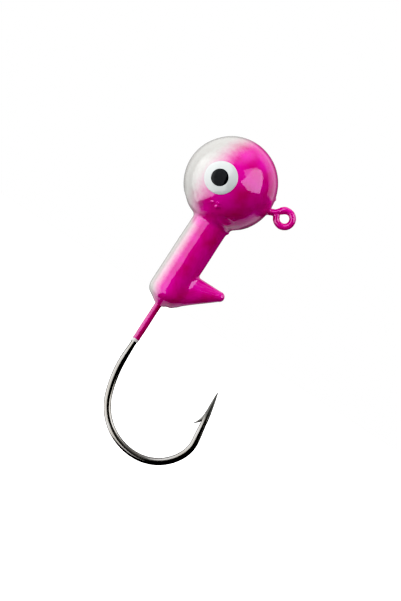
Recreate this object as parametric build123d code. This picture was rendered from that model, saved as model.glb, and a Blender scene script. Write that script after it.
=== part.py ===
from build123d import *
import math
import os

# A ball jig head for soft baits: a lead ball with a collar and keeper barb, cast on a one-piece hook,
# painted with a white base coat, a pink colour coat over the upper side, and a dotted eye on each side.
# Millimetres. The hook lies in the XZ plane. The origin is the centre of the line-tie ring, +Z runs
# along the shank from the bend towards the ball, and +X runs from the shank towards the point.

# Ball and collar, bare lead
ball_radius = 4.87
ball_x = -6.80
ball_z = 0.12
collar_radius = 1.87
collar_straight_end = 13.2  # below the ball's centre
collar_end = 15.0
tail_radius = 1.17
tail_turn = 58.0

# Keeper barb, an elliptical cone with a round tip, from its place below and beside the ball's centre
keeper_tip_below = 10.72
keeper_tip_beside = 5.57
keeper_tip_radius = 0.36
keeper_length = 4.8
keeper_lean = 20.0
keeper_root_height = 2.10
keeper_root_width = 1.30

# Hook wire
wire_radius = 0.31
shank_x = ball_x + 0.55
leg_lean = 23.0
leg_below = 2.22  # where the leg's line meets the shank's, below the ball's centre
jig_bend_radius = 1.0
crank_lean = 47.0
crank_radius = 0.9
ring_radius = 0.87
ring_turn = 280.0
shank_end = 20.0
bend_start = 21.2
bend_arcs = [(13.6, 19.3), (5.92, 75.5), (4.91, 60.0), (3.45, 33.3)]
spear_length = 1.25
forged_height = 0.38
forged_width = 0.28
point_sections = [(1.71, 0.31, 0.25), (2.95, 0.20, 0.17), (4.15, 0.03, 0.03)]
barb_outline = [(2.40, 0.10), (2.40, 0.25), (3.23, 0.51), (3.61, 0.71), (3.91, 0.99), (3.63, 0.10)]
barb_half_width = 0.16

# Paint
base_coat = 0.08
colour_coat = 0.05
wire_base_coat = 0.02
wire_colour_coat = 0.02
colour_end = 19.4
base_end = 19.7
tie_land_radius = 0.51
tie_land_length = 0.24
fade_top = (0.74, 4.77)  # beside and above the ball's centre
fade_middle = (-1.90, -0.60)
fade_bottom = (-0.69, -5.20)

# Eyes
eye_below = 0.19
eye_beside = -1.14
eye_radius = 1.78
pupil_below = 0.24
pupil_beside = -1.27
pupil_radius = 0.93
eye_thickness = 0.05
pupil_thickness = 0.05

reach = 20.0  # longer than anything it cuts


def below(distance):
    """The height at a distance below the ball's centre."""
    return ball_z - distance


def flat(shape):
    """Stands a shape drawn in X and Y up in the XZ plane."""
    return Plane.XZ * shape


def trace(x, z, heading, steps):
    """A path of straight runs and tangent arcs in the XZ plane. A step is (length,) or (radius, turn)."""
    place = Vector(x, z)
    edges = []
    for step in steps:
        if len(step) == 1:
            edge = PolarLine(place, step[0], heading)
        else:
            tangent = (math.cos(math.radians(heading)), math.sin(math.radians(heading)))
            edge = JernArc(place, tangent, step[0], step[1])
            heading += step[1]
        edges.append(edge)
        place = edge @ 1
    return flat(Wire(edges))


def section_plane(path, end):
    """The plane across a path at its start, 0, or its end, 1, with its X in the hook's plane."""
    along = path % end
    return Plane(origin=path @ end, x_dir=along.cross(Vector(0, 1, 0)), z_dir=along)


def toward(angle):
    return Vector(math.cos(math.radians(angle)), math.sin(math.radians(angle)))


def cross(a, b):
    return a.X * b.Y - a.Y * b.X


def tie_path():
    """Up the shank, round the jig bend, along the leg, and round the line-tie ring about the origin."""
    corner = Vector(shank_x, below(leg_below))
    join = toward(90 + crank_lean) * ring_radius
    leg, link = toward(leg_lean), toward(crank_lean)
    leg_length = cross(join - corner, link) / cross(leg, link)
    link_length = cross(leg, join - corner) / cross(leg, link)
    jig_turn = 90 - leg_lean
    crank_turn = crank_lean - leg_lean
    jig_setback = jig_bend_radius * math.tan(math.radians(jig_turn / 2))
    crank_setback = crank_radius * math.tan(math.radians(crank_turn / 2))
    steps = [
        (below(leg_below) - jig_setback - below(shank_end),),
        (jig_bend_radius, -jig_turn),
        (leg_length - jig_setback - crank_setback,),
        (crank_radius, crank_turn),
        (link_length - crank_setback,),
        (ring_radius, -ring_turn),
    ]
    return trace(shank_x, below(shank_end), 90, steps)


def wire_of(radius):
    """The shank, leg and ring as a round rod of one radius."""
    path = tie_path()
    return sweep(section_plane(path, 0) * Circle(radius), path=path)


def forged_part():
    """The flattened bend and spear, with the taper that joins it to the round shank."""
    path = trace(shank_x, below(bend_start), -90, bend_arcs + [(spear_length,)])
    start = section_plane(path, 0)
    bend = sweep(start * Ellipse(forged_height, forged_width), path=path)
    round_end = Plane(origin=(shank_x, 0, below(shank_end)), x_dir=start.x_dir, z_dir=start.z_dir)
    taper = loft([round_end * Circle(wire_radius), start * Ellipse(forged_height, forged_width)], ruled=True)
    spear_end = section_plane(path, 1)
    return bend + taper + needle(spear_end) + barb(spear_end)


def needle(base):
    """The needle point, from the end of the spear."""
    sections = [base * Ellipse(forged_height, forged_width)]
    for distance, height, width in point_sections:
        sections.append(base.offset(distance) * Ellipse(height, width))
    return loft(sections, ruled=True)


def barb(base):
    """The barb cut up from the spear's inner side. Its outline is measured back from the point."""
    tip = base.offset(point_sections[-1][0])
    side = Plane(origin=tip.origin, x_dir=-tip.z_dir, z_dir=(0, -1, 0))
    inward = -1 if side.y_dir.X > 0 else 1
    outline = Polyline([(back, inward * off) for back, off in barb_outline], close=True)
    return extrude(side * make_face(outline), amount=barb_half_width, both=True)


def collar(grow):
    """The collar and its rounded tail, turned about the shank."""
    turn = math.radians(tail_turn)
    centre = collar_radius - tail_radius
    radius = tail_radius + grow
    arc_end = (centre + radius * math.cos(turn), collar_straight_end + radius * math.sin(turn))
    arc_middle = (centre + radius * math.cos(turn / 2), collar_straight_end + radius * math.sin(turn / 2))
    narrow = arc_end[0] - (collar_end - arc_end[1]) * math.tan(turn)
    lines = [
        Line((0, 0), (collar_radius + grow, 0)),
        Line((collar_radius + grow, 0), (collar_radius + grow, -collar_straight_end)),
        ThreePointArc(
            (collar_radius + grow, -collar_straight_end),
            (arc_middle[0], -arc_middle[1]),
            (arc_end[0], -arc_end[1]),
        ),
        Line((arc_end[0], -arc_end[1]), (narrow, -collar_end)),
        Line((narrow, -collar_end), (0, -collar_end)),
        Line((0, -collar_end), (0, 0)),
    ]
    turned = revolve(flat(make_face(lines)), axis=Axis.Z, revolution_arc=360)
    return Pos(shank_x, 0, ball_z) * turned


def keeper(grow):
    """The keeper barb, whose root is buried in the collar."""
    lean = toward(keeper_lean)
    tip = Vector(ball_x + keeper_tip_beside, 0, below(keeper_tip_below))
    axis = Vector(lean.X, 0, lean.Y)
    across = Vector(-lean.Y, 0, lean.X)
    tip_plane = Plane(origin=tip, x_dir=across, z_dir=axis)
    root_plane = Plane(origin=tip - axis * keeper_length, x_dir=across, z_dir=axis)
    root = root_plane * Ellipse(keeper_root_height + grow, keeper_root_width + grow)
    cone = loft([root, tip_plane * Circle(keeper_tip_radius + grow)], ruled=True)
    return cone + Pos(*tip) * Sphere(keeper_tip_radius + grow)


def head_form(grow):
    """The casting's outside, thickened all over by grow."""
    ball = Pos(ball_x, 0, ball_z) * Rot(0, 0, 180) * Sphere(ball_radius + grow)
    return ball + collar(grow) + keeper(grow)


def colour_region():
    """All that lies on the upper side of the fade between the base coat and the colour."""
    top, middle, bottom = (
        (ball_x + beside, ball_z + above) for beside, above in (fade_top, fade_middle, fade_bottom)
    )
    high, low = ball_z + ball_radius + 1, below(collar_end + 1)
    lines = [
        ThreePointArc(top, middle, bottom),
        Line(bottom, (bottom[0], low)),
        Line((bottom[0], low), (reach, low)),
        Line((reach, low), (reach, high)),
        Line((reach, high), (top[0] + 1, high)),
        Line((top[0] + 1, high), top),
    ]
    return extrude(flat(make_face(lines)), amount=reach, both=True)


def tie_land():
    """Paint drawn into the ring's throat, which leaves a short straight bore."""
    band = Cylinder(ring_radius - wire_radius, tie_land_length) - Cylinder(tie_land_radius, reach)
    return Rot(90, 0, 0) * band


def shank_tube(inner, outer, end):
    """A coat on the shank, from inside the collar's tail down to its end."""
    start = collar_straight_end
    tube = Cylinder(outer, end - start) - Cylinder(inner, reach)
    return Pos(shank_x, 0, below((start + end) / 2)) * tube


def eye_disc(side, beside, depth, radius, inner, outer):
    """A round dot of paint that follows the ball between two radii, on the side where Y has that sign."""
    centre = Pos(ball_x, 0, ball_z)
    shell = centre * Rot(0, 0, 180) * (Sphere(outer) - Sphere(inner))
    punch = Pos(ball_x + beside, side * reach / 2, below(depth)) * Rot(90, 0, 0) * Cylinder(radius, reach)
    return shell & punch


def write(name, shape):
    export_step(shape, os.path.join("parts", name + ".step"))


os.makedirs("parts", exist_ok=True)

base_outside = base_coat
colour_outside = base_coat + colour_coat
wire_base_radius = wire_radius + wire_base_coat
wire_colour_radius = wire_base_radius + wire_colour_coat

bare_form = head_form(0)
base_form = head_form(base_outside)
colour_form = head_form(colour_outside)

tie_wire = wire_of(wire_radius)
tie_base = wire_of(wire_base_radius)
tie_colour = wire_of(wire_colour_radius)

hook = tie_wire + forged_part()
beyond_shank = Pos(shank_x + collar_radius + reach, 0, 0) * Box(2 * reach, reach, 2 * reach)

write("hook_wire", hook)
write("lead_head", bare_form - hook)
write("head_base_coat", base_form - bare_form - tie_wire)

head_colour = (colour_form - base_form - tie_base) & colour_region()
write("head_colour_coat", head_colour)

leg_base = (tie_base - tie_wire - base_form) & beyond_shank
leg_colour = (tie_colour - tie_base - colour_form) & beyond_shank
write("line_tie_base_coat", leg_base)
write("line_tie_colour_coat", leg_colour + (tie_land() - tie_base))

write("shank_base_coat", shank_tube(wire_radius, wire_base_radius, base_end) - base_form)
write("shank_colour_coat", shank_tube(wire_base_radius, wire_colour_radius, colour_end) - colour_form)

ball_base = ball_radius + base_outside
eye_outside = ball_radius + colour_outside + eye_thickness
pupil_outside = eye_outside + pupil_thickness
for name, side in (("left", -1), ("right", 1)):
    white = eye_disc(side, eye_beside, eye_below, eye_radius, ball_base, eye_outside)
    pupil = eye_disc(side, pupil_beside, pupil_below, pupil_radius, eye_outside, pupil_outside)
    write(name + "_eye_white", white - head_colour)
    write(name + "_eye_pupil", pupil)
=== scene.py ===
import math

import bpy
import numpy as np
from mathutils import Matrix, Vector


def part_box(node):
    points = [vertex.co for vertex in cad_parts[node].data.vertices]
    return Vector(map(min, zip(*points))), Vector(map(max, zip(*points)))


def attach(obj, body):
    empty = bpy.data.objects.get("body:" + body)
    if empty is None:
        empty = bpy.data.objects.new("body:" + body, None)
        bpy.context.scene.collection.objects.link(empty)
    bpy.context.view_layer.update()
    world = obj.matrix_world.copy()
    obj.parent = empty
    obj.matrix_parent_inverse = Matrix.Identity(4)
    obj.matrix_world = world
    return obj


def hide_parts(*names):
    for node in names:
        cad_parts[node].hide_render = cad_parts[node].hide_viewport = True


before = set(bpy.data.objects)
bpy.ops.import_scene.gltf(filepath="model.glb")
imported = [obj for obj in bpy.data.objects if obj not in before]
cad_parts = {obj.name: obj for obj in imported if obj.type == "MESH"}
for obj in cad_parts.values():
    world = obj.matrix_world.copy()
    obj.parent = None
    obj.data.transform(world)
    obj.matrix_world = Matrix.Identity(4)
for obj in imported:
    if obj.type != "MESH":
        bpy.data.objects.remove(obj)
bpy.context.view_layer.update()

# A painted ball jig head. The hook lies in the XZ plane, +Z runs up the shank to the ball, +X runs from
# the shank to the point, and the origin is the line-tie ring's centre. Lengths are worked out in
# millimetres and scaled by MM when a mesh is made.

MM = 0.001


def box_mm(node):
    """A CAD node's lowest and highest corners, in millimetres."""
    low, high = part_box(node)
    return np.array(low) / MM, np.array(high) / MM


# Places and sizes read from the frame
coat_low, coat_high = box_mm("head_colour_coat")
base_low, base_high = box_mm("head_base_coat")
shank_low, shank_high = box_mm("shank_colour_coat")
sleeve_low, sleeve_high = box_mm("shank_base_coat")
hook_low, _ = box_mm("hook_wire")

BALL_RADIUS = (coat_high[1] - coat_low[1]) / 2
BALL = np.array([base_low[0] + (base_high[1] - base_low[1]) / 2, 0.0, coat_high[2] - BALL_RADIUS])
SHANK_X = (shank_low[0] + shank_high[0]) / 2
PAINTED_WIRE = (shank_high[1] - shank_low[1]) / 2
BASE_WIRE = (sleeve_high[1] - sleeve_low[1]) / 2
COLOUR_END = shank_low[2]
BASE_END = sleeve_low[2]
KEEPER_TIP_X = coat_high[0]

# The painted casting
COLLAR_RADIUS = 2.0
TAIL_START = BALL[2] - 13.2
TAIL_ARC = 1.3
TAIL_TURN = math.radians(58)
KEEPER_LEAN = math.radians(20)
KEEPER_TIP_RADIUS = 0.49
KEEPER_TIP = np.array([KEEPER_TIP_X - KEEPER_TIP_RADIUS, 0.0, BALL[2] - 10.72])
KEEPER_LENGTH = 4.8
KEEPER_SIDE_TAPER = 0.20
RUNS_Z = BALL[2] - 3.9  # the paint has run most here, just above the neck
SHANK_INSIDE = np.array([SHANK_X, 0, BALL[2] - 13.0])
SHANK_OUTSIDE = np.array([SHANK_X, 0, BALL[2] - 15.6])
HEAD_LOWEST = BALL[2] - 15.9
HEAD_MARGIN = 0.25

# The hook
WIRE = 0.31
SHANK_PAINT_TOP = BALL[2] - 14.2  # inside the tail
LEG_LEAN = math.radians(23)
LEG_BELOW = 2.22  # where the leg's line meets the shank's, below the ball's centre
JIG_BEND = 1.0
CRANK_LEAN = math.radians(47)
CRANK_BEND = 0.9
RING = 0.87
RING_TURN = math.radians(280)
PAINTED_RING_TURN = math.radians(298)
BEND_START = BALL[2] - 21.2
BEND_ARCS = [(13.6, 19.3), (5.92, 75.5), (4.91, 60.0), (3.45, 33.3)]
SPEAR = 5.60

# The eyes
EYE_BESIDE, EYE_BELOW, EYE_RADIUS = -1.14, 0.19, 1.78
PUPIL_BESIDE, PUPIL_BELOW, PUPIL_RADIUS = -1.27, 0.24, 0.93
DOT_HEIGHT = 0.05


# ---------------------------------------------------------------- shapes as distance fields

def unit(angle):
    """The direction at an angle from +X towards +Z, in the hook's plane."""
    return np.array([math.cos(angle), 0.0, math.sin(angle)])


def waves(seed, scale):
    """A smooth bumpy function of a point, between about -1 and 1, whose bumps are about scale wide."""
    count = 24
    source = np.random.default_rng(seed)
    directions = source.normal(size=(count, 3))
    directions /= np.linalg.norm(directions, axis=1)[:, None]
    directions *= (source.uniform(0.6, 1.4, count) * math.pi / scale)[:, None]
    phases = source.uniform(0, 2 * math.pi, count)

    def value(points):
        total = np.zeros(points.shape[:-1])
        for direction, phase in zip(directions, phases):
            total += np.sin(points @ direction + phase)
        return total / math.sqrt(count)

    return value


def fillet_union(a, b, radius):
    """Two distances joined with a round fillet."""
    u = np.maximum(radius - a, 0)
    v = np.maximum(radius - b, 0)
    return np.maximum(radius, np.minimum(a, b)) - np.hypot(u, v)


def capsule(points, start, end, radius):
    """The distance to a round rod with round ends."""
    axis = end - start
    along = np.clip((points - start) @ axis / (axis @ axis), 0, 1)
    return np.linalg.norm(points - start - along[..., None] * axis, axis=-1) - radius


def collar(points):
    """The collar with its rounded, conical tail, about the shank."""
    out = np.hypot(points[..., 0] - SHANK_X, points[..., 1])
    down = TAIL_START - points[..., 2]
    centre = COLLAR_RADIUS - TAIL_ARC
    turn = np.arctan2(down, out - centre)
    arc = np.hypot(out - centre, down) - TAIL_ARC
    cone = (out - centre) * math.cos(TAIL_TURN) + down * math.sin(TAIL_TURN) - TAIL_ARC
    side = out - COLLAR_RADIUS
    shape = np.where(turn < 0, side, np.where(turn > TAIL_TURN, cone, arc))
    shape = np.where(down < 0, side, shape)
    return np.maximum(shape, points[..., 2] - BALL[2])


def keeper(points):
    """The keeper barb: a cone with a round tip, narrower across than it is deep."""
    axis = unit(KEEPER_LEAN)
    normal = unit(KEEPER_LEAN + math.pi / 2)
    back = (KEEPER_TIP - points) @ axis
    root = np.clip(back, 0, KEEPER_LENGTH)
    depth = KEEPER_TIP_RADIUS / math.cos(KEEPER_LEAN) + root * math.tan(KEEPER_LEAN)
    width = KEEPER_TIP_RADIUS + root * KEEPER_SIDE_TAPER
    off = (points - KEEPER_TIP) @ normal
    ahead = back - root
    ratio = np.sqrt((off / depth) ** 2 + (points[..., 1] / width) ** 2 + (ahead / KEEPER_TIP_RADIUS) ** 2)
    slope = np.sqrt((off / depth**2) ** 2 + (points[..., 1] / width**2) ** 2
                    + (ahead / KEEPER_TIP_RADIUS**2) ** 2)
    return (ratio - 1) * ratio / np.maximum(slope, 1e-6)


def head(points):
    """The painted casting, with the paint drawn up on the leg and shank where they leave it."""
    ball = np.linalg.norm(points - BALL, axis=-1) - BALL_RADIUS
    body = fillet_union(ball, collar(points), 0.35)
    body = fillet_union(body, keeper(points), 0.32)
    shank = capsule(points, SHANK_INSIDE, SHANK_OUTSIDE, PAINTED_WIRE - 0.01)
    body = fillet_union(body, shank, 0.06)
    leg = capsule(points, LEG_INSIDE, LEG_OUTSIDE, PAINTED_WIRE - 0.01)
    body = fillet_union(body, leg, 0.15)
    return body - relief(points)


coarse_waves = waves(11, 2.6)
fine_waves = waves(12, 0.75)
runs_waves = waves(13, 0.9)


def bump(points, place, radius, height):
    """A round bump of the surface."""
    return height * np.exp(-np.sum((points - place) ** 2, axis=-1) / radius**2)


def relief(points):
    """What stands proud of the plain form: the mould's parting line, uneven paint, runs and nibs."""
    seam = 0.022 * (1 + 0.5 * coarse_waves(points)) * np.exp(-(points[..., 1] / 0.10) ** 2)
    neck = np.exp(-((points[..., 2] - RUNS_Z) / 0.7) ** 2)
    total = seam + 0.012 * coarse_waves(points) + 0.0025 * fine_waves(points)
    total += 0.045 * neck * runs_waves(points)
    for place, radius, height in NIBS:
        total += bump(points, place, radius, height)
    return total


def on_ball(beside, under, side):
    """A point on the ball, from its place beside and below the centre, on the side with that sign of Y."""
    depth = math.sqrt(BALL_RADIUS**2 - beside**2 - under**2)
    return BALL + np.array([beside, side * depth, -under])


def nibs():
    """Flash, drips, two clusters of marks and dust, as (place, radius, height)."""
    source = np.random.default_rng(7)
    flash = [
        (BALL + np.array([4.95, 0, 1.15]), 0.16, 0.10),
        (BALL + np.array([2.72, 0, -4.62]), 0.22, 0.16),
    ]
    drips = [
        (on_ball(0.20, 2.90, -1), 0.24, 0.110),
        (np.array([SHANK_X - 0.55, -1.42, BALL[2] - 14.22]), 0.17, 0.06),
        (np.array([SHANK_X - 0.17, -0.86, BALL[2] - 14.62]), 0.15, 0.05),
    ]
    found = flash + drips

    def add(place, radii, heights):
        found.append((place, source.uniform(*radii), source.uniform(*heights)))

    clusters = ((0.10, 2.95, 0.40, 9), (2.26, 3.25, 0.35, 7))
    for beside, under, spread, count in clusters:
        for _ in range(count):
            mark_beside = beside + spread * source.normal()
            mark_under = under + spread * source.normal()
            add(on_ball(mark_beside, mark_under, -1), (0.07, 0.15), (0.030, 0.060))
    dust_on_ball, dust_on_collar = 26, 12
    for _ in range(dust_on_ball):
        direction = source.normal(size=3)
        direction /= np.linalg.norm(direction)
        add(BALL + BALL_RADIUS * direction, (0.05, 0.10), (0.008, 0.022))
    for _ in range(dust_on_collar):
        turn = source.uniform(0, 2 * math.pi)
        x = SHANK_X + COLLAR_RADIUS * math.cos(turn)
        y = COLLAR_RADIUS * math.sin(turn)
        z = BALL[2] - source.uniform(5.5, 13.0)
        add(np.array([x, y, z]), (0.05, 0.09), (0.008, 0.020))
    return found


def surface_net(field, low, high, step):
    """Vertices and quads of the surface where field is zero, by naive surface nets."""
    axes = [np.arange(low[k], high[k] + step, step) for k in range(3)]
    grid = np.stack(np.meshgrid(*axes, indexing="ij"), axis=-1)
    value = np.concatenate([field(slab[None]) for slab in grid])
    inside = value < 0
    cells = tuple(n - 1 for n in value.shape)
    total = np.zeros(cells + (3,))
    count = np.zeros(cells)
    corners = [(i, j, k) for i in (0, 1) for j in (0, 1) for k in (0, 1)]

    def corner(array, c):
        return array[c[0]:c[0] + cells[0], c[1]:c[1] + cells[1], c[2]:c[2] + cells[2]]

    for a in corners:
        for axis in range(3):
            if a[axis]:
                continue
            b = tuple(1 if n == axis else a[n] for n in range(3))
            fa, fb = corner(value, a), corner(value, b)
            crossed = corner(inside, a) != corner(inside, b)
            share = np.where(crossed, fa / np.where(crossed, fa - fb, 1), 0)
            for n in range(3):
                place = share if n == axis else float(a[n])
                total[..., n] += np.where(crossed, place, 0)
            count += crossed
    used = count > 0
    number = np.full(cells, -1)
    number[used] = np.arange(used.sum())
    where = np.argwhere(used)
    vertices = np.array(low) + (where + total[used] / count[used][:, None]) * step
    quads = []
    for axis in range(3):
        first, second = (axis + 1) % 3, (axis + 2) % 3
        here = [slice(None)] * 3
        there = [slice(None)] * 3
        here[axis], there[axis] = slice(0, -1), slice(1, None)
        now, then = inside[tuple(here)], inside[tuple(there)]
        for edges, turned in ((now & ~then, False), (~now & then, True)):
            at = np.argwhere(edges)
            at = at[(at[:, first] > 0) & (at[:, second] > 0)]
            loop = []
            for shift in ((0, 0), (-1, 0), (-1, -1), (0, -1)):
                cell = at.copy()
                cell[:, first] += shift[0]
                cell[:, second] += shift[1]
                loop.append(number[tuple(cell.T)])
            quad = np.stack(loop, axis=1)
            quads.append(quad[:, ::-1] if turned else quad)
    return vertices, np.concatenate(quads)


def settle(vertices, field, rounds=3):
    """Moves vertices onto the surface where field is zero."""
    reach = 1e-3
    for _ in range(rounds):
        here = field(vertices)
        rises = [field(vertices + reach * np.eye(3)[k]) - here for k in range(3)]
        slope = np.stack(rises, axis=-1) / reach
        move = here / np.maximum(np.sum(slope**2, axis=-1), 1e-6)
        vertices = vertices - slope * move[:, None]
    return vertices


# ---------------------------------------------------------------- meshes

def make_mesh(name, vertices, faces):
    """A smooth-shaded object from vertices in millimetres."""
    mesh = bpy.data.meshes.new(name)
    mesh.from_pydata((np.asarray(vertices) * MM).tolist(), [], [list(f) for f in faces])
    mesh.update()
    mesh.shade_smooth()
    piece = bpy.data.objects.new(name, mesh)
    bpy.context.scene.collection.objects.link(piece)
    return piece


def set_attribute(piece, name, values):
    """Stores a number for each vertex, for the material to read."""
    layer = piece.data.attributes.new(name, "FLOAT", "POINT")
    layer.data.foreach_set("value", np.asarray(values, np.float32))


def run_of(points):
    """How far along a line of points each one is."""
    return np.concatenate([[0], np.cumsum(np.linalg.norm(np.diff(points, axis=0), axis=1))])


def trace(start, heading, steps, spacing=0.06):
    """Points along straight runs and tangent arcs in the hook's plane, and the heading at their end. A
    step is (length,) or (radius, turn)."""
    points, place = [np.array(start, float)], np.array(start, float)
    for step in steps:
        length = step[0] if len(step) == 1 else step[0] * abs(step[1])
        count = max(2, math.ceil(length / spacing))
        for _ in range(count):
            turn = 0 if len(step) == 1 else step[1] / count
            chord = length / count if turn == 0 else 2 * step[0] * math.sin(abs(turn) / 2)
            place = place + chord * unit(heading + turn / 2)
            heading += turn
            points.append(place)
    return np.array(points), heading


def flat_cross(a, b):
    """The cross product of two directions in the hook's plane."""
    return a[0] * b[2] - a[2] * b[0]


def tie_steps():
    """From the leg's meeting with the shank to the ring's end: the runs and arcs of the leg and ring."""
    corner = np.array([SHANK_X, 0, BALL[2] - LEG_BELOW])
    join = RING * unit(math.pi / 2 + CRANK_LEAN)
    leg, link = unit(LEG_LEAN), unit(CRANK_LEAN)
    leg_length = flat_cross(join - corner, link) / flat_cross(leg, link)
    link_length = flat_cross(leg, join - corner) / flat_cross(leg, link)
    jig_back = JIG_BEND * math.tan((math.pi / 2 - LEG_LEAN) / 2)
    crank_back = CRANK_BEND * math.tan((CRANK_LEAN - LEG_LEAN) / 2)
    steps = [
        (JIG_BEND, LEG_LEAN - math.pi / 2),
        (leg_length - jig_back - crank_back,),
        (CRANK_BEND, CRANK_LEAN - LEG_LEAN),
        (link_length - crank_back,),
        (RING, -RING_TURN),
    ]
    return corner - np.array([0, 0, jig_back]), steps


def leg_ends():
    """Two points of the leg, one inside the ball and one outside it."""
    start, steps = tie_steps()
    line, _ = trace(start, math.pi / 2, steps)
    out = np.linalg.norm(line - BALL, axis=1) - BALL_RADIUS
    return line[int(np.argmax(out > -0.5))], line[int(np.argmax(out > 0.55))]


LEG_INSIDE, LEG_OUTSIDE = leg_ends()
NIBS = nibs()


def ring_faces(rings, around, inside_out=False):
    """Quads between rings of vertices that follow each other, and a face on each end."""
    faces = []
    for i in range(rings - 1):
        for j in range(around):
            k = (j + 1) % around
            faces.append((i * around + j, i * around + k, (i + 1) * around + k, (i + 1) * around + j))
    last = (rings - 1) * around
    faces.append(tuple(reversed(range(around))))
    faces.append(tuple(range(last, last + around)))
    return [face[::-1] for face in faces] if inside_out else faces


def tube(name, points, heights, widths, square, around):
    """A rod along points in the hook's plane. Its section at each point is a rounded ellipse, height in
    the hook's plane and width across it; square is 2 for an ellipse and more for flattened sides."""
    points = np.asarray(points)
    tangents = np.gradient(points, axis=0)
    tangents /= np.linalg.norm(tangents, axis=1)[:, None]
    normals = np.stack([-tangents[:, 2], np.zeros(len(points)), tangents[:, 0]], axis=1)
    turn = np.arange(around) * 2 * math.pi / around
    power = (2 / np.broadcast_to(square, len(points)))[:, None]
    cosine = np.sign(np.cos(turn)) * np.abs(np.cos(turn)) ** power
    sine = np.sign(np.sin(turn)) * np.abs(np.sin(turn)) ** power
    heights = np.broadcast_to(heights, len(points))[:, None, None]
    widths = np.broadcast_to(widths, len(points))[:, None, None]
    across = np.array([0.0, 1.0, 0.0])
    rings = points[:, None] + heights * cosine[..., None] * normals[:, None]
    rings = rings + widths * sine[..., None] * across
    piece = make_mesh(name, rings.reshape(-1, 3), ring_faces(len(points), around))
    set_attribute(piece, "along", np.repeat(run_of(points), around))
    set_attribute(piece, "turn_cos", np.tile(np.cos(turn), len(points)))
    set_attribute(piece, "turn_sin", np.tile(np.sin(turn), len(points)))
    return piece


def join(name, pieces):
    """Several meshes as one object."""
    bpy.ops.object.select_all(action="DESELECT")
    for piece in pieces:
        piece.select_set(True)
    bpy.context.view_layer.objects.active = pieces[0]
    bpy.ops.object.join()
    pieces[0].name = name
    return pieces[0]


# ---------------------------------------------------------------- materials

class Nodes:
    """A short way to write a material's node tree."""

    def __init__(self, name):
        self.material = bpy.data.materials.new(name)
        self.material.use_nodes = True
        self.tree = self.material.node_tree
        self.shader = self.tree.nodes["Principled BSDF"]

    def add(self, kind, inputs=(), **settings):
        """A new node with its settings, and its inputs given by name."""
        node = self.tree.nodes.new(kind)
        for key, value in settings.items():
            setattr(node, key, value)
        for key, value in dict(inputs).items():
            self.put(node.inputs[key], value)
        return node

    def put(self, socket, value):
        """Links a socket to another, or gives it a plain value."""
        if isinstance(value, bpy.types.NodeSocket):
            self.tree.links.new(value, socket)
        else:
            socket.default_value = value

    def set(self, **values):
        """Sets the shader's own inputs, with _ for a space in their names."""
        for key, value in values.items():
            self.put(self.shader.inputs[key.replace("_", " ")], value)

    def math(self, operation, a, b=0.0, c=0.0):
        node = self.add("ShaderNodeMath", operation=operation)
        for socket, value in zip(node.inputs, (a, b, c)):
            self.put(socket, value)
        return node.outputs[0]

    def place(self):
        """The point in the row frame, in millimetres."""
        coordinates = self.add("ShaderNodeTexCoord").outputs["Object"]
        return self.add("ShaderNodeMapping", {"Vector": coordinates, "Scale": (1 / MM,) * 3}).outputs[0]

    def noise(self, vector, scale, detail=2.0, roughness=0.5):
        inputs = {"Vector": vector, "Scale": scale, "Detail": detail, "Roughness": roughness}
        return self.add("ShaderNodeTexNoise", inputs).outputs["Fac"]

    def spread(self, value, low, high, to_low=0.0, to_high=1.0, smooth=False):
        """Maps low..high to to_low..to_high."""
        node = self.add("ShaderNodeMapRange", {
            "Value": value, "From Min": low, "From Max": high, "To Min": to_low, "To Max": to_high})
        if smooth:
            node.interpolation_type = "SMOOTHSTEP"
        return node.outputs[0]

    def mix(self, factor, a, b):
        node = self.add("ShaderNodeMix", data_type="RGBA")
        self.put(node.inputs[0], factor)
        self.put(node.inputs[6], a)
        self.put(node.inputs[7], b)
        return node.outputs[2]

    def bump(self, height, strength, distance):
        """Bumps the surface, by up to a distance in metres."""
        inputs = {"Height": height, "Strength": strength, "Distance": distance}
        self.set(Normal=self.add("ShaderNodeBump", inputs).outputs[0])

    def attribute(self, name):
        return self.add("ShaderNodeAttribute", attribute_name=name).outputs["Fac"]


WHITE = (0.56, 0.56, 0.535, 1)
WHITE_WARM = (0.54, 0.52, 0.50, 1)
WHITE_ON_WIRE = (0.62, 0.60, 0.62, 1)
PINK = (0.77, 0.002, 0.37, 1)
PINK_DEEP = (0.61, 0.001, 0.195, 1)
PINK_THIN = (0.82, 0.03, 0.45, 1)
PINK_ON_WIRE = (0.52, 0.001, 0.19, 1)
PINK_ON_WIRE_DEEP = (0.42, 0.001, 0.13, 1)
PINK_SHINE = (0.98, 0.68, 1.0, 1)
EYE_WHITE = (0.65, 0.685, 0.69, 1)
EYE_WHITE_MILKY = (0.61, 0.655, 0.645, 1)
INK = (0.006, 0.007, 0.009, 1)
INK_PALE = (0.016, 0.018, 0.022, 1)
PLATING = (0.21, 0.206, 0.20, 1)
PLATING_WARM = (0.185, 0.175, 0.16, 1)
# Painted shade for the hook's outline, where the wire turns away from the eye
PLATING_PAINTED_EDGE_SHADE = (0.04, 0.04, 0.04, 1)
PLATING_RIM = (0.15, 0.14, 0.13, 1)
GROUND_STEEL = (0.06, 0.06, 0.057, 1)
LEAD = (0.26, 0.27, 0.29, 1)
LEAD_BRIGHT = (0.36, 0.37, 0.39, 1)
PAINT_IOR = 1.62


def pink_colour(nodes, where, plain=PINK, deep=PINK_DEEP):
    """The colour coat: hot pink, deeper in patches and thinner in grains."""
    patch = nodes.noise(where, 0.55, 3.0)
    deeper = nodes.mix(nodes.spread(patch, 0.35, 0.7), plain, deep)
    grains = nodes.noise(where, 14.0, 2.0)
    return nodes.mix(nodes.spread(grains, 0.60, 0.85, 0.0, 0.35), deeper, PINK_THIN)


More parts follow.
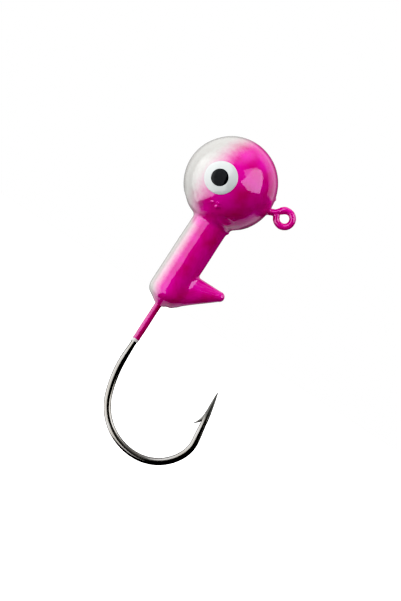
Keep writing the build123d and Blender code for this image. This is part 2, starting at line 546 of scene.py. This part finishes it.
def head_paint():
    """The base coat with the colour sprayed over it, which fades out in a mist of fine grains."""
    nodes = Nodes("head_paint")
    where = nodes.place()
    fade = nodes.attribute("colour_fade")
    mist = nodes.noise(where, 2.2, 3.0, 0.6)
    grain = nodes.noise(where, 11.0, 3.0, 0.7)
    drift = nodes.math("MULTIPLY_ADD", mist, 0.7, nodes.math("MULTIPLY_ADD", grain, 0.7, -0.7))
    cover = nodes.spread(nodes.math("ADD", fade, drift), -1.45, 1.25, smooth=True)
    pearl = nodes.mix(nodes.spread(nodes.noise(where, 3.0, 4.0), 0.4, 0.65), WHITE, WHITE_WARM)
    nodes.set(Base_Color=nodes.mix(cover, pearl, pink_colour(nodes, where)))
    nodes.set(Roughness=nodes.spread(nodes.noise(where, 1.6, 3.0), 0.3, 0.75, 0.045, 0.11))
    nodes.set(IOR=PAINT_IOR, Specular_Tint=nodes.mix(cover, (1, 1, 1, 1), PINK_SHINE))
    nodes.bump(nodes.noise(where, 1.9, 3.0, 0.55), 0.2, 0.00006)
    return nodes.material


def pink_paint(name, plain, deep):
    """The colour coat where none of the white shows."""
    nodes = Nodes(name)
    where = nodes.place()
    nodes.set(Base_Color=pink_colour(nodes, where, plain, deep))
    nodes.set(Roughness=nodes.spread(nodes.noise(where, 2.5, 3.0), 0.3, 0.75, 0.06, 0.14))
    nodes.set(IOR=PAINT_IOR, Specular_Tint=PINK_SHINE)
    nodes.bump(nodes.noise(where, 3.5, 3.0), 0.15, 0.00004)
    return nodes.material


def base_paint():
    """The base coat at its bare end on the shank."""
    nodes = Nodes("base_paint")
    where = nodes.place()
    nodes.set(Base_Color=nodes.mix(nodes.noise(where, 3.0, 3.0), WHITE, WHITE_ON_WIRE))
    nodes.set(Roughness=nodes.spread(nodes.noise(where, 2.5, 3.0), 0.3, 0.75, 0.10, 0.22))
    nodes.set(IOR=1.5)
    return nodes.material


def eye_white():
    nodes = Nodes("eye_white")
    where = nodes.place()
    milky = nodes.noise(where, 1.4, 3.0)
    nodes.set(Base_Color=nodes.mix(milky, EYE_WHITE, EYE_WHITE_MILKY))
    nodes.set(Roughness=nodes.spread(milky, 0.3, 0.7, 0.05, 0.12), IOR=1.5)
    nodes.bump(nodes.noise(where, 2.5, 2.0), 0.12, 0.00004)
    return nodes.material


def eye_black():
    nodes = Nodes("eye_black")
    where = nodes.place()
    ink = nodes.noise(where, 3.0, 3.0)
    nodes.set(Base_Color=nodes.mix(ink, INK, INK_PALE))
    nodes.set(Roughness=nodes.spread(ink, 0.3, 0.7, 0.05, 0.12), IOR=1.24)
    nodes.bump(nodes.noise(where, 2.2, 2.0), 0.15, 0.00005)
    return nodes.material


def hook_steel():
    """Black nickel over drawn wire, with fine marks along it, painted shade darkening its outline, and a
    duller, ground point.
    """
    nodes = Nodes("hook_steel")
    along = nodes.attribute("along")
    scaled = nodes.add("ShaderNodeCombineXYZ", {
        "X": nodes.math("MULTIPLY", along, 0.35),
        "Y": nodes.math("MULTIPLY", nodes.attribute("turn_cos"), 4.0),
        "Z": nodes.math("MULTIPLY", nodes.attribute("turn_sin"), 4.0)}).outputs[0]
    marks = nodes.noise(scaled, 2.0, 4.0, 0.6)
    where = nodes.place()
    tint = nodes.noise(where, 0.5, 2.0)
    plated = nodes.mix(nodes.spread(tint, 0.35, 0.65), PLATING, PLATING_WARM)
    # Painted shade: the plating's colour is darkened towards the outline, where the surface turns away from
    # the eye
    facing = nodes.add("ShaderNodeLayerWeight", {"Blend": 0.5}).outputs["Facing"]
    plated_with_edge_shade = nodes.mix(nodes.spread(facing, 0.15, 0.42, 0.0, 0.93), plated, PLATING_PAINTED_EDGE_SHADE)
    ground = nodes.attribute("ground")
    nodes.set(Base_Color=nodes.mix(ground, plated_with_edge_shade, GROUND_STEEL))
    polish = nodes.spread(marks, 0.3, 0.7, 0.10, 0.20)
    nodes.set(Metallic=1.0, Roughness=nodes.math("MULTIPLY_ADD", ground, 0.18, polish))
    nodes.set(Specular_Tint=PLATING_RIM)
    nodes.bump(marks, 0.08, 0.00003)
    return nodes.material


def cast_lead():
    """Bare lead, which lies under the paint."""
    nodes = Nodes("cast_lead")
    where = nodes.place()
    cast = nodes.noise(where, 2.0, 4.0)
    nodes.set(Base_Color=nodes.mix(cast, LEAD, LEAD_BRIGHT))
    nodes.set(Metallic=1.0, Roughness=nodes.spread(cast, 0.3, 0.7, 0.45, 0.65))
    nodes.bump(cast, 0.3, 0.00008)
    return nodes.material


# ---------------------------------------------------------------- pieces

# The middle of the fade as (above the ball's centre, beside it), and how much sharper the fade is there
FADE_EDGE = [(-16.0, 0.20), (-15.0, 0.05), (-13.2, -0.70), (-6.0, -0.70), (-4.6, -1.55),
             (-3.0, -2.10), (0.0, -2.15), (2.2, -1.85), (3.6, -1.45), (4.8, -0.60)]
FADE_SHARPNESS = [(-6.0, 2.0), (-4.2, 1.0)]

# The hook's half-height, half-width and squareness, and how far it is ground, by distance from the point
HOOK_HEIGHT = [(0, 0.05), (0.5, 0.120), (1.20, 0.205), (2.39, 0.310), (3.2, 0.350), (3.7, 0.330),
               (4.2, 0.352), (5.0, 0.390), (7.0, 0.405), (22.5, 0.400), (24.6, 0.385), (26.3, WIRE)]
HOOK_WIDTH = [(0, 0.05), (0.5, 0.105), (1.20, 0.170), (2.39, 0.235), (4.0, 0.270), (6.0, 0.290),
              (22.5, 0.290), (26.3, WIRE)]
HOOK_SQUARE = [(0, 2.0), (4.0, 2.2), (7.0, 2.4), (22.5, 2.4), (26.3, 2.0)]
HOOK_GROUND = [(0, 1.0), (2.6, 1.0), (3.6, 0.0)]
HOOK_AROUND = 48

# The barb's spine as (back from the point, inward)
BARB_SPINE = [(2.38, 0.06), (2.83, 0.16), (3.23, 0.33), (3.53, 0.53), (3.77, 0.75), (4.00, 1.01)]
BARB_STEPS = 26
BARB_AROUND = 24


def profile(at, stops):
    """A value that runs straight between stops of (place, value)."""
    places, values = zip(*stops)
    return np.interp(at, places, values)


def colour_fade(vertices):
    """How far each point is inside the colour coat's edge, in millimetres."""
    beside = vertices[:, 0] - BALL[0]
    above = vertices[:, 2] - BALL[2]
    return (beside - profile(above, FADE_EDGE)) * profile(above, FADE_SHARPNESS)


def build_head():
    """The painted casting in one skin."""
    low = [base_low[0] - HEAD_MARGIN, -BALL_RADIUS - HEAD_MARGIN, HEAD_LOWEST]
    high = [KEEPER_TIP_X + HEAD_MARGIN, BALL_RADIUS + HEAD_MARGIN, coat_high[2] + HEAD_MARGIN]
    step = 0.09
    vertices, quads = surface_net(head, low, high, step)
    vertices = settle(vertices, head)
    piece = make_mesh("head_paint", vertices, quads)
    set_attribute(piece, "colour_fade", colour_fade(vertices))
    return piece


def build_hook():
    """The whole wire in one: ring, leg, jig bend, shank, forged bend, spear, point, and the cut barb."""
    start, steps = tie_steps()
    tie, _ = trace(start, math.pi / 2, steps)
    arcs = [(radius, math.radians(turn)) for radius, turn in BEND_ARCS]
    shank = np.array([SHANK_X, 0, start[2]])
    bend, heading = trace(shank, -math.pi / 2, [(start[2] - BEND_START,)] + arcs + [(SPEAR,)])
    points = np.concatenate([tie[::-1], bend[1:]])
    run = run_of(points)
    back = run[-1] - run
    height, width, square, ground = (
        profile(back, stops) for stops in (HOOK_HEIGHT, HOOK_WIDTH, HOOK_SQUARE, HOOK_GROUND)
    )
    wire = tube("hook", points, height, width, square, HOOK_AROUND)
    set_attribute(wire, "ground", np.repeat(ground, HOOK_AROUND))

    axis, inward = unit(heading), unit(heading + math.pi / 2)
    tip = points[-1]
    share = np.linspace(0, 1, BARB_STEPS)
    knots = range(len(BARB_SPINE))
    backs, offs = (np.interp(share * knots[-1], knots, column) for column in zip(*BARB_SPINE))
    line = tip - backs[:, None] * axis + offs[:, None] * inward
    thick = 0.25 * (1 - share) ** 0.8 + 0.02
    wide = 0.20 * (1 - share) ** 0.7 + 0.02
    barb = tube("barb", line, thick, wide, 2.0, BARB_AROUND)
    set_attribute(barb, "ground", np.full(BARB_STEPS * BARB_AROUND, 0.8))
    return join("hook", [wire, barb])


def build_line_tie():
    """Paint on the leg and ring, which bridges the gap where the ring's end meets the leg."""
    start, steps = tie_steps()
    steps[-1] = (RING, -PAINTED_RING_TURN)
    points, _ = trace(start, math.pi / 2, steps, spacing=0.03)
    run = run_of(points)
    split = run[-1] - RING * PAINTED_RING_TURN
    overlap, buried = 0.35, 0.6
    leg = points[run <= split + overlap]
    leg = leg[np.linalg.norm(leg - BALL, axis=1) > BALL_RADIUS - buried]
    ring = points[run >= split - 1e-6]
    lumps = waves(21, 0.5)

    def distance(where, line):
        """The distance to the nearest point of a line."""
        nearest = np.full(where.shape[:-1], 9.0)
        for point in line:
            nearest = np.minimum(nearest, np.sum((where - point) ** 2, axis=-1))
        return np.sqrt(nearest)

    def coat(where):
        first = distance(where, leg) - PAINTED_WIRE
        second = distance(where, ring) - PAINTED_WIRE - 0.015
        return fillet_union(first, second, 0.16) - 0.006 * lumps(where)

    margin = 0.45
    low = [leg[:, 0].min() - margin, -margin, ring[:, 2].min() - margin]
    high = [ring[:, 0].max() + margin, margin, ring[:, 2].max() + margin]
    step = 0.045
    vertices, quads = surface_net(coat, low, high, step)
    return make_mesh("line_tie_paint", settle(vertices, coat, 2), quads)


def sleeve(name, radius, top, bottom, slant, seed):
    """A coat of paint round the shank, with a soft, uneven lower end."""
    lumps = waves(seed, 1.2)
    around, rounds = 40, 48
    turn = np.arange(around) * 2 * math.pi / around
    lip, draw_in = 0.05, 0.035
    rolled = np.linspace(0.2, math.pi / 2, 6)
    heights = np.concatenate([np.linspace(top, bottom + lip, rounds), bottom + lip * (1 - np.sin(rolled))])
    shrink = np.concatenate([np.zeros(rounds), draw_in * (1 - np.cos(rolled))])
    vertices = []
    for height, less in zip(heights, shrink):
        ring = np.stack([np.cos(turn), np.sin(turn), np.zeros(around)], axis=1)
        ring = np.array([SHANK_X, 0, height]) + ring * (radius - less)
        nearness = math.exp(-(height - bottom) / 0.5)
        ring[:, 2] += nearness * (slant * np.cos(turn + 0.6) + 0.03 * np.sin(2 * turn + seed))
        outward = ring - np.array([SHANK_X, 0, 0])
        outward[:, 2] = 0
        bead = 0.012 * math.exp(-((height - bottom - 0.12) / 0.12) ** 2)
        ring += outward / radius * (0.006 * lumps(ring) + bead)[:, None]
        vertices.append(ring)
    return make_mesh(name, np.concatenate(vertices), ring_faces(len(heights), around, inside_out=True))


def dot(name, side, beside, below, radius, under, seed):
    """A round dot of thick paint on the ball, domed and a little uneven, as one closed piece."""
    source = np.random.default_rng(seed)
    phases = source.uniform(0, 2 * math.pi, 4)
    around, rings = 72, 18
    turn = np.arange(around) * 2 * math.pi / around
    uneven = 1 + 0.006 * np.sin(2 * turn + phases[0]) + 0.005 * np.sin(3 * turn + phases[1])
    uneven += 0.003 * np.sin(5 * turn + phases[2])

    def ball_ring(out, level):
        """A ring of points about the dot's centre, at a distance from the ball's."""
        x = beside + out * np.cos(turn)
        z = -below + out * np.sin(turn)
        y = side * np.sqrt(np.maximum(level**2 - x**2 - z**2, 0))
        return BALL + np.stack([x, y, z], axis=1)

    shares = np.sin(np.linspace(0, math.pi / 2, rings))
    vertices = []
    for share in shares:
        dome = (1 - share**6) ** 0.5
        vertices.append(ball_ring(radius * uneven * max(share, 1e-3), under + DOT_HEIGHT * dome))
    for share in shares[::-1]:
        vertices.append(ball_ring(radius * uneven * max(share, 1e-3) * 0.995, under - 0.06))
    faces = ring_faces(len(vertices), around, inside_out=side > 0)
    return make_mesh(name, np.concatenate(vertices), faces)


def paint(piece, material):
    """Gives a piece its one material."""
    piece.data.materials.clear()
    piece.data.materials.append(material)


def dress(piece, material, slot_name, *nodes):
    """Gives a piece its material and body, and hides the CAD nodes that it stands for. The slot name is not
    used.
    """
    paint(piece, material)
    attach(piece, "root")
    if nodes:
        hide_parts(*nodes)


# ---------------------------------------------------------------- studio

# The camera looks along +Y and is rolled so that the shank leans to the right. Metres from here on.
ROLL = math.atan2(0.5455, 0.8381)  # how far +X rises to the right
RIGHT = Vector((math.cos(ROLL), 0, math.sin(ROLL)))
UP = Vector((-math.sin(ROLL), 0, math.cos(ROLL)))
TOWARD = Vector((0, -1, 0))
TARGET = Vector((-0.00273, 0, -0.01210))
VIEW_HEIGHT = 0.06366
CAMERA_DISTANCE = 0.40
PANEL_DISTANCE = 0.45
SENSOR = 36

# How bright each light of the room is
BACK_LIGHT = 1.15
CEILING_LIGHT = 1.25
FRONT_LIGHT = 0.5
ROOM_LIGHT = 0.012

# The corners of two cards, as (azimuth, elevation) in the picture
KEY_CARD = [(-110, 53), (8, 53), (8, 28), (-10, 8), (-10, -22), (-40, -23), (-110, -30)]
SIDE_CARD = [(24, 5), (42, 18), (61, 30), (88, 24), (80, -18), (44, -17), (27, 0)]


def look(azimuth, elevation):
    """A direction as the picture has it: azimuth to the right of the camera and elevation above it, in
    degrees."""
    a, e = math.radians(azimuth), math.radians(elevation)
    return RIGHT * (math.cos(e) * math.sin(a)) + UP * math.sin(e) + TOWARD * (math.cos(e) * math.cos(a))


def placed(place, *axes):
    """The matrix of an object at a place with the given X, Y and Z directions."""
    return Matrix.Translation(place) @ Matrix(axes).transposed().to_4x4()


def add_camera():
    data = bpy.data.cameras.new("camera")
    data.sensor_width = SENSOR
    data.lens = SENSOR * CAMERA_DISTANCE / VIEW_HEIGHT
    data.clip_start, data.clip_end = 0.01, 10
    camera = bpy.data.objects.new("camera", data)
    camera.matrix_world = placed(TARGET + TOWARD * CAMERA_DISTANCE, RIGHT, UP, TOWARD)
    bpy.context.scene.collection.objects.link(camera)
    bpy.context.scene.camera = camera


def add_panel(name, azimuth, elevation, width, height, radiance):
    """A rectangular area light of a given radiance, which faces the object and is hidden from the eye."""
    data = bpy.data.lights.new(name, "AREA")
    data.shape = "RECTANGLE"
    data.size, data.size_y = width, height
    data.energy = radiance * math.pi * width * height
    direction = look(azimuth, elevation)
    panel = bpy.data.objects.new(name, data)
    across = UP.cross(direction).normalized()
    upward = direction.cross(across)
    panel.matrix_world = placed(TARGET + direction * PANEL_DISTANCE, across, upward, direction)
    panel.visible_camera = False
    bpy.context.scene.collection.objects.link(panel)


def add_soft_card(name, corners, distance, radiance):
    """A glowing card whose corners are directions in the picture, seen only in reflections."""
    directions = [look(azimuth, elevation) for azimuth, elevation in corners]
    centre = sum(directions, Vector()).normalized()
    points = [TARGET + direction * (distance / direction.dot(centre)) for direction in directions]
    mesh = bpy.data.meshes.new(name)
    mesh.from_pydata(points, [], [tuple(range(len(points)))])
    nodes = Nodes(name)
    nodes.set(Base_Color=(0, 0, 0, 1), Specular_IOR_Level=0.0)
    nodes.set(Emission_Color=(1, 1, 1, 1), Emission_Strength=radiance)
    mesh.materials.append(nodes.material)
    card = bpy.data.objects.new(name, mesh)
    card.visible_camera = False
    card.visible_diffuse = False
    card.visible_shadow = False
    bpy.context.scene.collection.objects.link(card)


def add_world():
    """The room, plain white to the eye. Its light comes from a white wall behind the object, with a dark
    wedge on the point's side and a dark card, and from a low glow in front under a brighter ceiling."""
    world = bpy.data.worlds.new("studio")
    world.use_nodes = True
    tree = world.node_tree
    tree.nodes.clear()
    links = tree.links

    def math_node(operation, *values):
        """A math node fed with numbers and sockets."""
        node = tree.nodes.new("ShaderNodeMath")
        node.operation = operation
        for socket, value in zip(node.inputs, values):
            if isinstance(value, bpy.types.NodeSocket):
                links.new(value, socket)
            else:
                socket.default_value = value
        return node.outputs[0]

    def ramp(value, low, high, to_low, to_high):
        """A soft step from to_low at low to to_high at high."""
        node = tree.nodes.new("ShaderNodeMapRange")
        node.interpolation_type = "SMOOTHSTEP"
        for key, number in (("From Min", low), ("From Max", high), ("To Min", to_low), ("To Max", to_high)):
            node.inputs[key].default_value = number
        links.new(value, node.inputs["Value"])
        return node.outputs[0]

    direction = tree.nodes.new("ShaderNodeTexCoord").outputs["Generated"]
    parts = tree.nodes.new("ShaderNodeSeparateXYZ")
    links.new(direction, parts.inputs[0])
    x, y, z = parts.outputs
    upward = math_node("ADD", math_node("MULTIPLY", z, UP.z), math_node("MULTIPLY", x, UP.x))

    # Behind: a white wall, a little dimmer below and on the side away from the point
    back = math_node("MULTIPLY", ramp(y, 0.16, 0.30, 0.0, BACK_LIGHT), ramp(upward, -0.8, 0.0, 0.85, 1.0))
    back = math_node("MULTIPLY", back, ramp(x, -0.95, -0.20, 0.80, 1.0))
    # The dark wedge on the point's side
    wedge = math_node("MULTIPLY", math_node("ABSOLUTE", math_node("ADD", z, 0.03)), 2.4)
    back = math_node("MULTIPLY", back, ramp(math_node("SUBTRACT", x, wedge), 0.18, 0.42, 1.0, 0.06))
    # A dark card straight behind the object, which its edges mirror as a thin dark outline
    card = math_node("MULTIPLY", ramp(y, 0.72, 0.90, 0.0, 0.85), ramp(x, -0.40, 0.15, 0.75, 1.0))
    back = math_node("MULTIPLY", back, math_node("SUBTRACT", 1.0, card))
    # In front: a low glow from level upwards, and the ceiling
    glow = ramp(upward, -0.08, 0.25, 0.0, FRONT_LIGHT)
    ceiling = ramp(upward, 0.60, 0.86, 0.0, CEILING_LIGHT)
    front = math_node("MULTIPLY", math_node("ADD", glow, ceiling), ramp(y, 0.16, 0.30, 1.0, 0.0))

    light = math_node("ADD", math_node("ADD", back, front), ROOM_LIGHT)
    eye = tree.nodes.new("ShaderNodeLightPath").outputs["Is Camera Ray"]
    strength = math_node("MAXIMUM", light, eye)
    background = tree.nodes.new("ShaderNodeBackground")
    background.inputs["Color"].default_value = (1, 1, 1, 1)
    links.new(strength, background.inputs["Strength"])
    output = tree.nodes.new("ShaderNodeOutputWorld")
    links.new(background.outputs[0], output.inputs[0])
    bpy.context.scene.world = world


def add_floor():
    """A plain pale floor just under the bend."""
    size, gap = 3.0, 0.0002
    level = hook_low[2] * MM - gap
    mesh = bpy.data.meshes.new("floor")
    corners = [(-size, -size, level), (size, -size, level), (size, size, level), (-size, size, level)]
    mesh.from_pydata(corners, [], [(0, 1, 2, 3)])
    floor = bpy.data.objects.new("floor", mesh)
    bpy.context.scene.collection.objects.link(floor)
    nodes = Nodes("floor_paper")
    nodes.set(Base_Color=(0.9, 0.9, 0.9, 1), Roughness=1.0, Specular_IOR_Level=0.0)
    nodes.set(Emission_Color=(1, 1, 1, 1), Emission_Strength=0.7)
    mesh.materials.append(nodes.material)
    floor.visible_glossy = False
    floor.visible_diffuse = False


def add_tone():
    """A tone curve that deepens the shadows."""
    settings = bpy.context.scene.view_settings
    settings.view_transform = "Standard"
    settings.use_curve_mapping = True
    tone = settings.curve_mapping
    all_channels = tone.curves[3]
    for shade, printed in ((0.02, 0.001), (0.05, 0.016), (0.10, 0.065), (0.2, 0.175), (0.5, 0.51)):
        all_channels.points.new(shade, printed)
    tone.update()


def add_studio():
    add_camera()
    add_world()
    add_panel("key_panel", azimuth=-52, elevation=14, width=0.81, height=0.78, radiance=1.45)
    add_panel("side_panel", azimuth=58, elevation=12, width=0.34, height=0.34, radiance=2.0)
    add_soft_card("key_card", KEY_CARD, distance=0.44, radiance=3.1)
    add_soft_card("side_card", SIDE_CARD, distance=0.40, radiance=4.2)
    add_floor()
    add_tone()
    bpy.context.scene.cycles.max_bounces = 8


# ---------------------------------------------------------------- the object

add_studio()

dress(build_head(), head_paint(), "colour_paint", "head_base_coat", "head_colour_coat")

line_tie_pink = pink_paint("line_tie_pink", PINK, PINK_DEEP)
dress(build_line_tie(), line_tie_pink, "colour_paint", "line_tie_colour_coat", "line_tie_base_coat")

shank_pink = pink_paint("shank_pink", PINK_ON_WIRE, PINK_ON_WIRE_DEEP)
colour = sleeve("shank_pink", PAINTED_WIRE + 0.04, SHANK_PAINT_TOP, COLOUR_END, slant=0.06, seed=31)
dress(colour, shank_pink, "colour_paint", "shank_colour_coat")
base = sleeve("shank_base", BASE_WIRE + 0.035, SHANK_PAINT_TOP, BASE_END, slant=0.07, seed=32)
dress(base, base_paint(), "base_paint", "shank_base_coat")

white, black = eye_white(), eye_black()
for label, side, seed in (("left", -1, 41), ("right", 1, 51)):
    eye = dot(label + "_eye_white_dot", side, EYE_BESIDE, EYE_BELOW, EYE_RADIUS, BALL_RADIUS, seed)
    dress(eye, white, "eye_white", label + "_eye_white")
    pupil = dot(label + "_eye_pupil_dot", side, PUPIL_BESIDE, PUPIL_BELOW, PUPIL_RADIUS,
                BALL_RADIUS + DOT_HEIGHT, seed + 1)
    dress(pupil, black, "eye_black", label + "_eye_pupil")

dress(build_hook(), hook_steel(), "hook_steel", "hook_wire")

paint(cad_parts["lead_head"], cast_lead())
